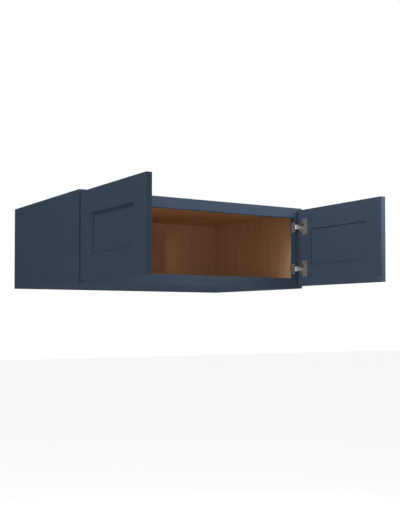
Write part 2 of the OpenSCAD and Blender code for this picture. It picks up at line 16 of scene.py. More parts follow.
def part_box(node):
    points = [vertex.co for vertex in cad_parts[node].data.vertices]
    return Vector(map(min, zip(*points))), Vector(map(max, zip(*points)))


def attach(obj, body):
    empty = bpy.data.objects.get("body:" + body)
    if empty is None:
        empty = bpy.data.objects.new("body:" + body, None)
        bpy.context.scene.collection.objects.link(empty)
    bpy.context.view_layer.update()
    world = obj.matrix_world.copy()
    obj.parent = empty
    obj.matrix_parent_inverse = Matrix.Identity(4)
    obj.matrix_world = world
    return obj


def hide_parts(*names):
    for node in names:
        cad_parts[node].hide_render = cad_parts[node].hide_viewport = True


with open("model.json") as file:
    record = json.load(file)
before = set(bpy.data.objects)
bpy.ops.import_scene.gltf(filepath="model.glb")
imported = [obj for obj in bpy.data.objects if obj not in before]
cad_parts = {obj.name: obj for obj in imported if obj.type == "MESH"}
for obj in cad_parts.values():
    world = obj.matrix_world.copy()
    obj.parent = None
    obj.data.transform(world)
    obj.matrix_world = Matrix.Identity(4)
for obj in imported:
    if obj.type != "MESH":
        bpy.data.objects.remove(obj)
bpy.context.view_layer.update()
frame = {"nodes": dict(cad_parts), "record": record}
LOG = logging.getLogger("wall_cabinet")
MM = 0.001

# Share of a direction that lies along an axis, for what points along it and for what lies across it
FACING = 0.9
SIDEWAYS = 0.1

# Share of a length past which a selection takes its far end
FAR = 0.9

# Distance within which a point counts as at a plane, and within which two corners count as one
NEAR = 0.1 * MM
SEAM = 0.002 * MM

SIDES = ("left", "right")
LEVELS = ("upper", "lower")
HINGES = tuple((side, level) for side in SIDES for level in LEVELS)
Colour = tuple[float, float, float, float]
WHITE: Colour = (1.0, 1.0, 1.0, 1.0)
Shape = bpy.types.Object
Test = Callable[[Vector, Vector], bool]


def tone(red: float, green: float, blue: float) -> Colour:
    """Turns a colour as the eye reads it on a screen into the linear colour that a shader takes.

    Args:
        red: Red level, from 0 to 255.
        green: Green level, from 0 to 255.
        blue: Blue level, from 0 to 255.

    Returns:
        The linear colour, with a full fourth channel.
    """
    linear = [
        share / 12.92 if share <= 0.04045 else ((share + 0.055) / 1.055) ** 2.4
        for share in (red / 255, green / 255, blue / 255)
    ]
    return (linear[0], linear[1], linear[2], 1.0)


class Along(Enum):
    """The axis of the cabinet that wood grain, or the thickness of plywood, follows."""

    X = 0
    Y = 1
    Z = 2


class Wire:
    """One output of a node, with the arithmetic that shader maths is written in."""

    def __init__(self, graph: "Graph", socket: bpy.types.NodeSocket) -> None:
        """Keeps the socket and the graph that it belongs to."""
        self.graph = graph
        self.socket = socket

    def __add__(self, other: "Wire | float") -> "Wire":
        """Adds a wire or a number."""
        return self.graph.maths("ADD", self, other)

    def __sub__(self, other: "Wire | float") -> "Wire":
        """Takes away a wire or a number."""
        return self.graph.maths("SUBTRACT", self, other)

    def __rsub__(self, other: float) -> "Wire":
        """Takes this wire away from a number."""
        return self.graph.maths("SUBTRACT", other, self)

    def __mul__(self, other: "Wire | float") -> "Wire":
        """Multiplies by a wire or a number."""
        return self.graph.maths("MULTIPLY", self, other)

    def __gt__(self, other: "Wire | float") -> "Wire":
        """Gives 1 where this wire is greater, and 0 elsewhere."""
        return self.graph.maths("GREATER_THAN", self, other)

    def __abs__(self) -> "Wire":
        """Drops the sign."""
        return self.graph.maths("ABSOLUTE", self)

    __radd__ = __add__
    __rmul__ = __mul__

    def sine(self) -> "Wire":
        """Gives the sine, brought into the range from 0 to 1."""
        return self.graph.maths("SINE", self) * 0.5 + 0.5

    def mixed(self, other: "Wire", share: "Wire | float") -> "Wire":
        """Gives this wire with a share of another one in its place."""
        return self * (1 - share) + other * share

    def ramp(self, low: float, high: float) -> "Wire":
        """Rises smoothly from 0 at a low value to 1 at a high one.

        Args:
            low: The low value.
            high: The high value.

        Returns:
            The rise.
        """
        settings = {"interpolation_type": "SMOOTHSTEP"}
        sockets = {"Value": self, "From Min": low, "From Max": high}
        return self.graph.wire(self.graph.node("ShaderNodeMapRange", settings, sockets))


class Graph:
    """A node tree under construction, with one method that adds any node."""

    # Places of the two colours among the inputs of a colour mix, and of its result among the outputs
    mix_from: int = 6
    mix_to: int = 7
    mix_result: int = 2

    def __init__(self, tree: bpy.types.NodeTree) -> None:
        """Takes over a tree and empties it."""
        self.tree = tree
        tree.nodes.clear()

    def node(self, kind: str, settings: dict[str, Any], sockets: dict[str | int, Any]) -> bpy.types.Node:
        """Adds a node.

        Args:
            kind: Type of the node.
            settings: Properties of the node, set before its sockets.
            sockets: Values or wires for its sockets, by name or by index.

        Returns:
            The new node.
        """
        made = self.tree.nodes.new(kind)
        for name, value in settings.items():
            setattr(made, name, value)
        for key, value in sockets.items():
            self.feed(made.inputs[key], value)
        return made

    def feed(self, socket: bpy.types.NodeSocket, value: Any) -> None:
        """Joins a wire to a socket, or sets its value.

        Args:
            socket: The socket.
            value: The wire or the value.
        """
        if isinstance(value, Wire):
            self.tree.links.new(value.socket, socket)
        else:
            socket.default_value = value

    def wire(self, node: bpy.types.Node, output: str | int = 0) -> Wire:
        """Gives one output of a node, by name or by index."""
        return Wire(self, node.outputs[output])

    def maths(self, operation: str, *values: Wire | float) -> Wire:
        """Adds one Math node.

        Args:
            operation: What the node works out.
            values: The wires or numbers that it takes.

        Returns:
            The result.
        """
        sockets = dict(enumerate(values))
        return self.wire(self.node("ShaderNodeMath", {"operation": operation}, sockets))

    def blend(self, share: Wire, first: Colour | Wire, second: Colour | Wire) -> Wire:
        """Mixes two colours.

        Args:
            share: Share of the second colour, from 0 to 1.
            first: Colour or wire at 0.
            second: Colour or wire at 1.

        Returns:
            The mixed colour.
        """
        sockets = {"Factor": share, self.mix_from: first, self.mix_to: second}
        return self.wire(self.node("ShaderNodeMix", {"data_type": "RGBA"}, sockets), self.mix_result)

    def seen(self) -> Wire:
        """Tells what the camera, a reflection or clear plastic shows from light that falls.

        Returns:
            1 for what is seen, and 0 for light that falls.
        """
        path = self.node("ShaderNodeLightPath", {}, {})
        total = self.wire(path, "Is Camera Ray")
        clamped = {"operation": "ADD", "use_clamp": True}
        for ray in ("Is Glossy Ray", "Is Transmission Ray"):
            total = self.wire(self.node("ShaderNodeMath", clamped, {0: total, 1: self.wire(path, ray)}))
        return total


@dataclass(frozen=True)
class Pattern:
    """A soft random pattern: the size of its patches, how far they are drawn out, and its finer layers."""

    size: float
    stretch: float = 1.0
    detail: float = 2.0


class Shader(Graph):
    """A material under construction."""

    def __init__(self, name: str) -> None:
        """Starts a material that holds a surface shader and the position on the cabinet.

        Args:
            name: Name of the material.
        """
        self.material = bpy.data.materials.new(name)
        self.material.use_nodes = True
        super().__init__(self.material.node_tree)
        self.surface = self.node("ShaderNodeBsdfPrincipled", {}, {})
        self.output = self.node("ShaderNodeOutputMaterial", {}, {"Surface": self.wire(self.surface)})
        self.position = self.wire(self.node("ShaderNodeTexCoord", {}, {}), "Object")

    def axis(self, along: Along) -> Wire:
        """Gives the position along one axis, in metres."""
        split = self.node("ShaderNodeSeparateXYZ", {}, {"Vector": self.position})
        return self.wire(split, along.value)

    def noise(self, pattern: Pattern, along: Along = Along.Z) -> Wire:
        """Draws a random pattern.

        Args:
            pattern: The pattern.
            along: The axis that it is drawn out along.

        Returns:
            A value from 0 to 1.
        """
        scale = [1.0, 1.0, 1.0]
        scale[along.value] = 1 / pattern.stretch
        place = self.node("ShaderNodeMapping", {}, {"Vector": self.position, "Scale": scale})
        sockets = {"Vector": self.wire(place), "Scale": 1 / pattern.size, "Detail": pattern.detail}
        return self.wire(self.node("ShaderNodeTexNoise", {}, sockets))

    def dress(self, coat: "Coat", uniform: dict[str, float]) -> bpy.types.Material:
        """Joins a finish to the surface shader.

        Args:
            coat: The finish.
            uniform: Values that are the same all over the surface, by the name of their socket.

        Returns:
            The material.
        """
        bump = self.node("ShaderNodeBump", {}, {"Height": coat.height, "Distance": MM, "Strength": 1.0})
        varying = {"Base Color": coat.colour, "Roughness": coat.roughness, "Normal": self.wire(bump)}
        for name, value in (varying | uniform).items():
            self.feed(self.surface.inputs[name], value)
        return self.material


@dataclass(frozen=True)
class Coat:
    """What one finish gives at each point: its colour, its roughness and its height in millimetres."""

    colour: Wire
    roughness: Wire
    height: Wire

    def under(self, other: "Coat", share: Wire) -> "Coat":
        """Lays another finish over this one.

        Args:
            other: The upper finish.
            share: Where it lies, from 0 to 1.

        Returns:
            Both finishes as one.
        """
        return Coat(
            self.colour.graph.blend(share, self.colour, other.colour),
            self.roughness.mixed(other.roughness, share),
            self.height.mixed(other.height, share),
        )


@dataclass(frozen=True)
class Lacquer:
    """Satin slate blue lacquer, sprayed, with the grain below it just telling through."""

    grain: Along
    light: Colour = tone(67, 79, 95)
    dark: Colour = tone(62, 74, 89)
    mottle: Pattern = Pattern(0.14, detail=3)
    peel: Pattern = Pattern(2.2 * MM, detail=1)
    peel_height: float = 0.012
    streak: Pattern = Pattern(1.1 * MM, 30)
    streak_share: float = 0.3
    streak_height: float = 0.010
    roughness: float = 0.46
    spread: float = 0.06

    def coat(self, shader: Shader) -> Coat:
        """Draws the finish.

        Args:
            shader: The material under construction.

        Returns:
            Its colour, roughness and height.
        """
        mottle = shader.noise(self.mottle)
        streak = shader.noise(self.streak, self.grain)
        colour = shader.blend(mottle.mixed(streak, self.streak_share), self.dark, self.light)
        height = shader.noise(self.peel) * self.peel_height + streak * self.streak_height
        return Coat(colour, self.roughness + mottle * self.spread, height)


@dataclass(frozen=True)
class Veneer:
    """Maple veneer: drawn out growth lines, fine streaks and short pores under a thin clear coat."""

    grain: Along
    light: Colour = tone(212, 175, 137)
    dark: Colour = tone(196, 157, 120)
    pore: Colour = tone(165, 126, 93)
    roughness: float = 0.5
    spread: float = 0.08
    growth: Pattern = Pattern(0.16, 7)
    growth_lines: float = 95
    growth_share: float = 0.14
    leaf: Pattern = Pattern(28 * MM, 60)
    leaf_share: float = 0.4
    streak: Pattern = Pattern(2.4 * MM, 90, 3)
    streak_share: float = 0.46
    contrast: tuple[float, float] = (0.15, 0.85)
    fleck: Pattern = Pattern(0.7 * MM, 16, 1)
    fleck_range: tuple[float, float] = (0.62, 0.74)
    fleck_share: float = 0.3
    relief: float = 0.02

    def coat(self, shader: Shader) -> Coat:
        """Draws the finish.

        Args:
            shader: The material under construction.

        Returns:
            Its colour, roughness and height.
        """
        growth = (shader.noise(self.growth, self.grain) * self.growth_lines).sine()
        leaf = shader.noise(self.leaf, self.grain)
        streak = shader.noise(self.streak, self.grain)
        fleck = shader.noise(self.fleck, self.grain).ramp(*self.fleck_range)
        share = growth * self.growth_share + leaf * self.leaf_share + streak * self.streak_share
        wood = shader.blend(share.ramp(*self.contrast), self.dark, self.light)
        colour = shader.blend(fleck * self.fleck_share, wood, self.pore)
        return Coat(colour, self.roughness + streak * self.spread, (streak - fleck) * self.relief)


@dataclass(frozen=True)
class PlyEdge:
    """The bare edge of plywood: layers that turn between long grain and end grain."""

    through: Along
    start: float
    thickness: float
    layers: int = 9
    light: Colour = tone(214, 182, 140)
    dark: Colour = tone(150, 112, 78)
    wander: Pattern = Pattern(30 * MM)
    wander_share: float = 0.3
    turn: tuple[float, float] = (0.3, 0.7)
    fibre: Pattern = Pattern(0.9 * MM)
    fibre_share: float = 0.25
    fibre_height: float = 0.06
    end_grain_depth: float = 0.05
    roughness: float = 0.75
    spread: float = 0.1

    def coat(self, shader: Shader) -> Coat:
        """Draws the finish.

        Args:
            shader: The material under construction.

        Returns:
            Its colour, roughness and height.
        """
        depth = (shader.axis(self.through) - self.start) * (self.layers / self.thickness)
        wander = shader.noise(self.wander) * self.wander_share
        end_grain = ((depth + wander) * math.pi).sine().ramp(*self.turn)
        fibre = shader.noise(self.fibre)
        colour = shader.blend(end_grain.mixed(fibre, self.fibre_share), self.light, self.dark)
        height = fibre * self.fibre_height - end_grain * self.end_grain_depth
        return Coat(colour, self.roughness + fibre * self.spread, height)


@dataclass(frozen=True)
class PlatedSteel:
    """Pressed steel plated with nickel or zinc, finely brushed, and if need be painted darker past a depth:
    painted shade for less light falling there.
    """

    light: Colour = tone(152, 151, 150)
    dark: Colour = tone(130, 129, 128)
    roughness: float = 0.4
    metallic: float = 0.6
    cloud: Pattern = Pattern(6 * MM, detail=3)
    cloud_polish: float = 0.05
    brush: Pattern = Pattern(0.25 * MM, 25)
    brush_share: float = 0.4
    brush_roughness: float = 0.14
    brush_height: float = 0.004
    # Painted shade: a darker colour past a depth along Y, standing in for less light falling there, with
    # the depth it starts at and the span it fades in over
    painted_shade: Colour | None = None
    painted_shade_from: float = 0.0
    fade: float = 1.5 * MM

    def material(self, name: str) -> bpy.types.Material:
        """Makes the material.

        Args:
            name: Name of the material.

        Returns:
            The material.
        """
        shader = Shader(name)
        cloud = shader.noise(self.cloud)
        brush = shader.noise(self.brush, Along.Z)
        colour = shader.blend(cloud.mixed(brush, self.brush_share), self.dark, self.light)
        # Painted shade: past the depth the colour fades to the darker one, standing in for less light
        if self.painted_shade is not None:
            depth = shader.axis(Along.Y).ramp(self.painted_shade_from, self.painted_shade_from + self.fade)
            colour = shader.blend(depth, colour, self.painted_shade)
        roughness = self.roughness + brush * self.brush_roughness - cloud * self.cloud_polish
        return shader.dress(Coat(colour, roughness, brush * self.brush_height), {"Metallic": self.metallic})


@dataclass(frozen=True)
class Moulding:
    """Moulded rubber or plastic with a fine matt grain, clear or solid."""

    light: Colour
    dark: Colour
    roughness: float
    clear: float = 0.0
    ior: float = 1.46
    grain: Pattern = Pattern(0.5 * MM)
    cloud: Pattern = Pattern(4 * MM)
    spread: float = 0.1
    relief: float = 0.01

    def material(self, name: str) -> bpy.types.Material:
        """Makes the material.

        Args:
            name: Name of the material.

        Returns:
            The material.
        """
        shader = Shader(name)
        grain = shader.noise(self.grain)
        colour = shader.blend(shader.noise(self.cloud), self.dark, self.light)
        coat = Coat(colour, self.roughness + grain * self.spread, grain * self.relief)
        return shader.dress(coat, {"Transmission Weight": self.clear, "IOR": self.ior})


@dataclass(frozen=True)
class Joinery:
    """Finishes of the wooden pieces: lacquer outside, clear veneer inside, bare plywood behind."""

    sheen: float = 0.0
    skin: float = 0.4 * MM

    def wood(self, shader: Shader, coat: Coat) -> bpy.types.Material:
        """Joins a wood finish to its shader, with no shine at grazing angles."""
        return shader.dress(coat, {"Specular IOR Level": self.sheen})

    def plain(self, name: str, finish: Lacquer | Veneer) -> bpy.types.Material:
        """Makes a finish that is the same all over a piece.

        Args:
            name: Name of the material.
            finish: The finish.

        Returns:
            The material.
        """
        shader = Shader(name)
        return self.wood(shader, finish.coat(shader))

    def side(self, node: str) -> bpy.types.Material:
        """Makes the finish of a side panel: lacquer outside, veneer inside, bare back and top edges.

        Args:
            node: The side panel, which gives the material its name.

        Returns:
            The material.
        """
        low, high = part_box(node)
        shader = Shader(node)
        inside = 1 - (abs(shader.axis(Along.X)) > min(abs(low.x), abs(high.x)) + self.skin)
        coat = Lacquer(Along.Z).coat(shader)
        edge = PlyEdge(Along.X, low.x, high.x - low.x).coat(shader)
        coat = coat.under(edge, shader.axis(Along.Z) > high.z - self.skin)
        coat = coat.under(edge, shader.axis(Along.Y) > high.y - self.skin)
        return self.wood(shader, coat.under(Veneer(Along.Z).coat(shader), inside))

    def shelf(self, node: str, outside: Lacquer | Veneer) -> bpy.types.Material:
        """Makes the finish of the top or bottom panel: veneer inside, and another finish outside.

        Args:
            node: The panel, which gives the material its name.
            outside: Its outer finish.

        Returns:
            The material.
        """
        low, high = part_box(node)
        shader = Shader(node)
        inside = 1 - (abs(shader.axis(Along.Z)) > min(abs(low.z), abs(high.z)) + self.skin)
        return self.wood(shader, outside.coat(shader).under(Veneer(Along.X).coat(shader), inside))

    def back(self, node: str) -> bpy.types.Material:
        """Makes the finish of the back panel: veneer inside, bare wood behind, layers on its edges.

        Args:
            node: The back panel, which gives the material its name.

        Returns:
            The material.
        """
        low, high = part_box(node)
        shader = Shader(node)
        inside = 1 - (shader.axis(Along.Y) > low.y + self.skin)
        edge = PlyEdge(Along.Y, low.y, high.y - low.y).coat(shader)
        coat = bare_ply(Along.Z).coat(shader)
        coat = coat.under(edge, abs(shader.axis(Along.Z)) > high.z - self.skin)
        return self.wood(shader, coat.under(Veneer(Along.Z).coat(shader), inside))


def bare_ply(grain: Along) -> Veneer:
    """Gives unfinished veneer, which is paler and rougher than the coated side.

    Args:
        grain: The axis that its grain follows.

    Returns:
        The finish.
    """
    pale, middle, dark = tone(216, 184, 144), tone(190, 154, 114), tone(158, 120, 84)
    return Veneer(grain, pale, middle, dark, roughness=0.72)


ZINC = PlatedSteel(tone(138, 134, 126), tone(108, 104, 97))
# The arm's nickel: bright plating made paler still, a painted highlight for the light on its neck, and
# painted darker on its leg past the bend, a painted shade
NICKEL_PAINTED_LIT_AND_SHADED = PlatedSteel(
    tone(238, 240, 242), tone(216, 218, 220), roughness=0.36, painted_shade=tone(150, 148, 146)
)
SPACER_RUBBER = Moulding(tone(62, 62, 62), tone(44, 44, 44), roughness=0.7)
CLEAR_RUBBER = Moulding(tone(72, 84, 101), tone(64, 76, 92), roughness=0.58, clear=0.25)
DAMPER_PLASTIC = Moulding(tone(96, 96, 98), tone(82, 82, 84), roughness=0.5)


class Part(Enum):
    """What a selection is made of, with the name of its list in a mesh."""

    FACE = "faces"
    EDGE = "edges"
    VERT = "verts"


class Bench:
    """Modelling moves that several pieces share, in the order that a modeller makes them by hand."""

    weld_gap: float = 0.004 * MM
    sliver: float = 0.001 * MM
    sharp_angle: float = math.radians(32)
    packed_sharp_angle: float = math.radians(35)
    flat_angle: float = math.radians(0.5)
    smooth_angle: float = math.radians(38)

    @staticmethod
    def clear() -> None:
        """Deselects everything, so that the next operator acts on its own piece alone."""
        bpy.ops.object.select_all(action="DESELECT")

    @staticmethod
    def started(name: str) -> Shape:
        """Names the primitive that was just added, with its place, turn and scale put into its mesh.

        Args:
            name: Name of the piece.

        Returns:
            The piece.
        """
        piece = bpy.context.active_object
        piece.name = name
        piece.data.name = name
        bpy.ops.object.transform_apply(location=True, rotation=True, scale=True)
        return piece

    @classmethod
    def disc(
        cls, name: str, radius: float, low: float, high: float, place: tuple[float, float], sides: int
    ) -> Shape:
        """Starts a piece as a round bar that stands on Z.

        Args:
            name: Name of the piece.
            radius: Its radius.
            low: Height of its lower end.
            high: Height of its upper end.
            place: Its middle, in X and Y.
            sides: Number of faces round it.

        Returns:
            The piece.
        """
        cls.clear()
        bpy.ops.mesh.primitive_cylinder_add(
            vertices=sides, radius=radius, depth=high - low, location=(*place, (low + high) / 2)
        )
        return cls.started(name)

    @classmethod
    def block(cls, name: str, low: Sequence[float], high: Sequence[float]) -> Shape:
        """Starts a piece as a block between two corners.

        Args:
            name: Name of the piece.
            low: Its lowest corner.
            high: Its highest corner.

        Returns:
            The piece.
        """
        cls.clear()
        middle = [(a + b) / 2 for a, b in zip(low, high)]
        size = [b - a for a, b in zip(low, high)]
        bpy.ops.mesh.primitive_cube_add(size=1.0, location=middle, scale=size)
        return cls.started(name)

    @classmethod
    def sheet(
        cls, name: str, low: Sequence[float], high: Sequence[float], height: float, cuts: tuple[int, int]
    ) -> Shape:
        """Starts a piece as a flat sheet between two corners, cut into a grid.

        Args:
            name: Name of the piece.
            low: Its lowest corner, in X and Y.
            high: Its highest corner, in X and Y.
            height: Its height.
            cuts: Number of faces along X and along Y.

        Returns:
            The piece.
        """
        cls.clear()
        bpy.ops.mesh.primitive_grid_add(
            x_subdivisions=cuts[0],
            y_subdivisions=cuts[1],
            size=1.0,
            location=((low[0] + high[0]) / 2, (low[1] + high[1]) / 2, height),
        )
        bpy.context.active_object.scale = (high[0] - low[0], high[1] - low[1], 1.0)
        return cls.started(name)

    @staticmethod
    def edit(piece: Shape) -> None:
        """Opens a piece's mesh for editing, with nothing selected.

        Args:
            piece: The piece.
        """
        bpy.context.view_layer.objects.active = piece
        bpy.ops.object.mode_set(mode="EDIT")
        bpy.ops.mesh.select_all(action="DESELECT")

    @staticmethod
    def done() -> None:
        """Closes the mesh that is open."""
        bpy.ops.object.mode_set(mode="OBJECT")

    @staticmethod
    def pick(piece: Shape, part: Part, test: Callable[[Any], bool]) -> None:
        """Selects what passes a test, and nothing else.

        Args:
            piece: The piece whose mesh is open.
            part: Whether faces, edges or vertices are tested.
            test: The test.
        """
        bpy.ops.mesh.select_mode(type=part.name)
        bpy.ops.mesh.select_all(action="DESELECT")
        mesh = bmesh.from_edit_mesh(piece.data)
        for item in getattr(mesh, part.value):
            item.select_set(test(item))
        if part is Part.VERT:
            mesh.select_flush_mode()
        bmesh.update_edit_mesh(piece.data)

    @classmethod
    def pick_faces(cls, piece: Shape, test: Test) -> None:
        """Selects faces by a test on their middle and their normal."""
        cls.pick(piece, Part.FACE, lambda face: test(face.calc_center_median(), face.normal))

    @classmethod
    def pick_edges(cls, piece: Shape, test: Test) -> None:
        """Selects edges by a test on their middle and their direction.

        Args:
            piece: The piece whose mesh is open.
            test: The test.
        """

        def passes(edge: bmesh.types.BMEdge) -> bool:
            """Tests one edge."""
            first, last = (vertex.co for vertex in edge.verts)
            return test((first + last) / 2, (last - first).normalized())

        cls.pick(piece, Part.EDGE, passes)

    @classmethod
    def pick_points(cls, piece: Shape, test: Callable[[Vector], bool]) -> None:
        """Selects vertices by a test on their place."""
        cls.pick(piece, Part.VERT, lambda vertex: test(vertex.co))

    @staticmethod
    def pick_all() -> None:
        """Selects all of the open mesh."""
        bpy.ops.mesh.select_all(action="SELECT")

    @classmethod
    def face_out(cls) -> None:
        """Turns every face of the open mesh outwards."""
        cls.pick_all()
        bpy.ops.mesh.normals_make_consistent(inside=False)

    @staticmethod
    def extrude(move: Sequence[float]) -> None:
        """Extrudes what is selected by a move."""
        bpy.ops.mesh.extrude_region_move(TRANSFORM_OT_translate={"value": tuple(move)})

    @staticmethod
    def round_off(width: float, segments: int, points: bool = False) -> None:
        """Bevels the selected edges, or the selected vertices of a flat sheet.

        Args:
            width: How far the bevel reaches.
            segments: Number of faces across it.
            points: Whether vertices are bevelled.
        """
        affect = "VERTICES" if points else "EDGES"
        bpy.ops.mesh.bevel(offset=width, segments=segments, affect=affect, clamp_overlap=False)

    @classmethod
    def combine(cls, piece: Shape, tool: Shape, operation: str) -> None:
        """Joins another solid to a piece or cuts it away, and removes that solid.

        Args:
            piece: The piece.
            tool: The other solid.
            operation: UNION or DIFFERENCE.
        """
        modifier = piece.modifiers.new("combine", "BOOLEAN")
        modifier.operation = operation
        modifier.solver = "EXACT"
        modifier.object = tool
        cls.apply(piece, modifier)
        bpy.data.objects.remove(tool)

    @classmethod
    def only(cls, piece: Shape) -> None:
        """Selects one piece and nothing else, and makes it the active one."""
        cls.clear()
        piece.select_set(True)
        bpy.context.view_layer.objects.active = piece

    @classmethod
    def apply(cls, piece: Shape, modifier: bpy.types.Modifier) -> None:
        """Applies one modifier of a piece."""
        cls.only(piece)
        bpy.ops.object.modifier_apply(modifier=modifier.name)

    @classmethod
    def finish(cls, piece: Shape, width: float, segments: int = 2) -> None:
        """Rounds the sharp edges of a piece, and shades it smooth between them.

        Args:
            piece: The piece.
            width: Width of a rounded edge.
            segments: Number of faces across it.
        """
        weld = piece.modifiers.new("join corners", "WELD")
        weld.merge_threshold = cls.weld_gap
        cls.apply(piece, weld)
        bevel = piece.modifiers.new("rounded edges", "BEVEL")
        bevel.width = width
        bevel.segments = segments
        bevel.limit_method = "ANGLE"
        bevel.angle_limit = cls.sharp_angle
        cls.apply(piece, bevel)
        cls.edit(piece)
        cls.pick_all()
        bpy.ops.mesh.dissolve_degenerate(threshold=cls.sliver)
        cls.done()
        cls.only(piece)
        bpy.ops.object.shade_smooth_by_angle(angle=cls.smooth_angle)
        cls.apply(piece, piece.modifiers.new("even shading", "WEIGHTED_NORMAL"))

    @classmethod
    def copies(cls, name: str, model: Shape, places: Sequence[Matrix]) -> Shape:
        """Copies a model to several places as one piece, and puts each place into the mesh.

        Args:
            name: Name of the piece.
            model: The model, at its own origin.
            places: Where the copies go.

        Returns:
            The piece, which holds all the copies.
        """
        made = []
        for place in places:
            copy = bpy.data.objects.new(name, model.data.copy())
            bpy.context.scene.collection.objects.link(copy)
            copy.matrix_world = place
            made.append(copy)
        cls.clear()
        for copy in made:
            copy.select_set(True)
        bpy.context.view_layer.objects.active = made[0]
        bpy.ops.object.transform_apply(location=True, rotation=True, scale=True)
        if len(made) > 1:
            bpy.ops.object.join()
        piece = bpy.context.active_object
        piece.name = name
        piece.data.name = name
        return piece


def stand_for(piece: Shape, node: str, material: bpy.types.Material) -> None:
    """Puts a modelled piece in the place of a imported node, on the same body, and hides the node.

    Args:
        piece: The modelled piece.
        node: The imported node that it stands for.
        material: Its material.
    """
    piece.data.materials.clear()
    piece.data.materials.append(material)
    record = frame["record"]
    body = next(name for name, nodes in record["behaviour"]["bodies"].items() if node in nodes)
    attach(piece, body)
    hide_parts(node)
    LOG.info("%s modelled, on %s", piece.name, body)


def ease(node: Shape, width: float, segments: int = 2) -> None:
    """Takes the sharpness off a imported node's edges, with live modifiers that leave its mesh alone.

    Args:
        node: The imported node.
        width: Width of the eased edge, in metres.
        segments: Number of faces across it.
    """
    weld = node.modifiers.new("join corners", "WELD")
    weld.merge_threshold = SEAM
    flat = node.modifiers.new("flat faces", "DECIMATE")
    flat.decimate_type = "DISSOLVE"
    flat.angle_limit = Bench.flat_angle
    bevel = node.modifiers.new("eased edges", "BEVEL")
    bevel.width = width
    bevel.segments = segments
    bevel.limit_method = "ANGLE"
    bevel.angle_limit = Bench.packed_sharp_angle
    bevel.use_clamp_overlap = False
    node.modifiers.new("even shading", "WEIGHTED_NORMAL")


def finish_node(name: str, material: bpy.types.Material, width: float) -> None:
    """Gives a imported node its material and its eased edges.

    Args:
        name: Name of the node.
        material: Its material.
        width: Width of its eased edges, in metres.
    """
    node = frame["nodes"][name]
    node.data.materials.clear()
    node.data.materials.append(material)
    ease(node, width)
    LOG.info("%s finished", name)


class Head(Enum):
    """The shape of a screw's head."""

    PAN = "pan"
    FLAT = "flat"


@dataclass(frozen=True)
class Screw:
    """A wood screw with a cross recess, standing on Z 0 with its shank downwards."""

    head: Head
    head_r: float
    shank_r: float
    length: float
    head_h: float = 0.9 * MM
    recess_w: float = 1.0 * MM
    recess_l: float = 4.2 * MM
    recess_d: float = 0.7 * MM
    recess_taper: tuple[float, float] = (0.45, 0.6)
    tip_l: float = 3.0 * MM
    tip_share: float = 0.06
    dome_share: float = 0.72
    edge: float = 0.08 * MM
    shank_sides: int = 32
    head_sides: int = 48
    dome_rings: int = 4

    def model(self, name: str) -> Shape:
        """Models the screw.

        Args:
            name: Name of the model.

        Returns:
            The model, at the origin.
        """
        top = self.head_h if self.head is Head.PAN else 0.0
        low = self.tip_l - self.length
        piece = Bench.disc(name, self.shank_r, low, top / 2, (0.0, 0.0), self.shank_sides)
        self.point_tip(piece)
        if self.head is Head.PAN:
            Bench.combine(piece, self.pan_head(), "UNION")
        else:
            self.flat_head(piece)
        for turn in (0.0, 90.0):
            Bench.combine(piece, self.recess(top, turn), "DIFFERENCE")
        Bench.finish(piece, self.edge)
        return piece

    def point_tip(self, piece: Shape) -> None:
        """Draws the lower end of the shank out to a point.

        Args:
            piece: The shank.
        """
        Bench.edit(piece)
        Bench.pick_faces(piece, lambda place, normal: normal.z < -FACING)
        Bench.extrude((0.0, 0.0, -self.tip_l))
        bpy.ops.transform.resize(value=(self.tip_share, self.tip_share, 1.0))
        Bench.done()

    def pan_head(self) -> Shape:
        """Models the low dome of the head: a disc whose upper edge is rounded off.

        Returns:
            The dome, standing on Z 0.
        """
        dome = Bench.disc("pan head", self.head_r, 0.0, self.head_h, (0.0, 0.0), self.head_sides)
        Bench.edit(dome)
        Bench.pick_edges(dome, lambda place, way: place.z > FAR * self.head_h)
        Bench.round_off(self.dome_share * self.head_h, self.dome_rings)
        Bench.done()
        return dome

    def flat_head(self, piece: Shape) -> None:
        """Spreads the upper end of the shank into a countersunk head, flush with Z 0.

        Args:
            piece: The shank, which ends at Z 0.
        """
        flare = self.head_r - self.shank_r
        Bench.edit(piece)
        Bench.pick_faces(piece, lambda place, normal: normal.z > FACING)
        bpy.ops.transform.translate(value=(0.0, 0.0, -flare))
        Bench.extrude((0.0, 0.0, flare))
        spread = self.head_r / self.shank_r
        bpy.ops.transform.resize(value=(spread, spread, 1.0))
        Bench.done()

    def recess(self, top: float, turn: float) -> Shape:
        """Models one arm of the cross recess as a wedge that narrows downwards.

        Args:
            top: Height of the head.
            turn: Its turn about the screw, in degrees.

        Returns:
            The wedge.
        """
        reach, half = self.recess_l / 2, self.recess_w / 2
        wedge = Bench.block("recess", (-reach, -half, top - self.recess_d), (reach, half, top + MM))
        Bench.edit(wedge)
        Bench.pick_faces(wedge, lambda place, normal: normal.z < -FACING)
        bpy.ops.transform.resize(value=(*self.recess_taper, 1.0))
        Bench.pick_all()
        bpy.ops.transform.rotate(
            value=math.radians(turn), orient_axis="Z", center_override=(0.0, 0.0, 0.0)
        )
        Bench.done()
        return wedge


